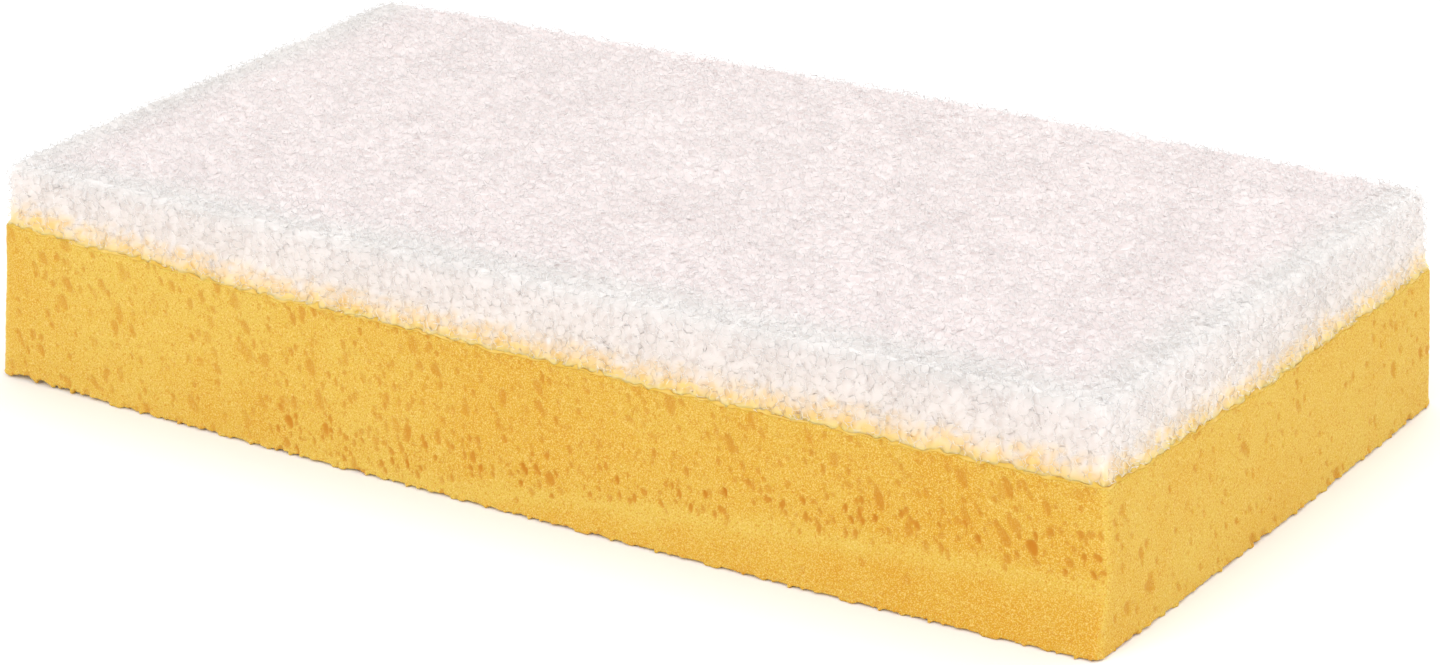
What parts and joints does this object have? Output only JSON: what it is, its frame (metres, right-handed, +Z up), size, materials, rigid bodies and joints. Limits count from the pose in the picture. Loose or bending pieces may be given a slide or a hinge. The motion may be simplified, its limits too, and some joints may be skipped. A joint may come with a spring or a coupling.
{
  "type": "grout float sponge pad",
  "caption": "Rectangular two-layer foam pad for a tiler's float: a yellow sponge block bonded to an open-cell white scrubbing foam.",
  "frame": {"origin": "centre of the base, where the yellow sponge lies on the surface below", "axes": "+X along the length, +Y across the width, +Z up from the yellow sponge to the white scrubbing foam"},
  "size_m": [0.2824, 0.1424, 0.05],
  "materials": {
    "yellow_sponge": "matte closed-looking sponge foam with small pores",
    "adhesive_film": "satin translucent film",
    "white_scrub_foam": "open-cell foam with slightly glossy struts"
  },
  "bodies": {
    "root": {"sponge_block": "yellow_sponge", "bond_film": "adhesive_film", "scrub_foam": "white_scrub_foam"}
  },
  "joints": []
}
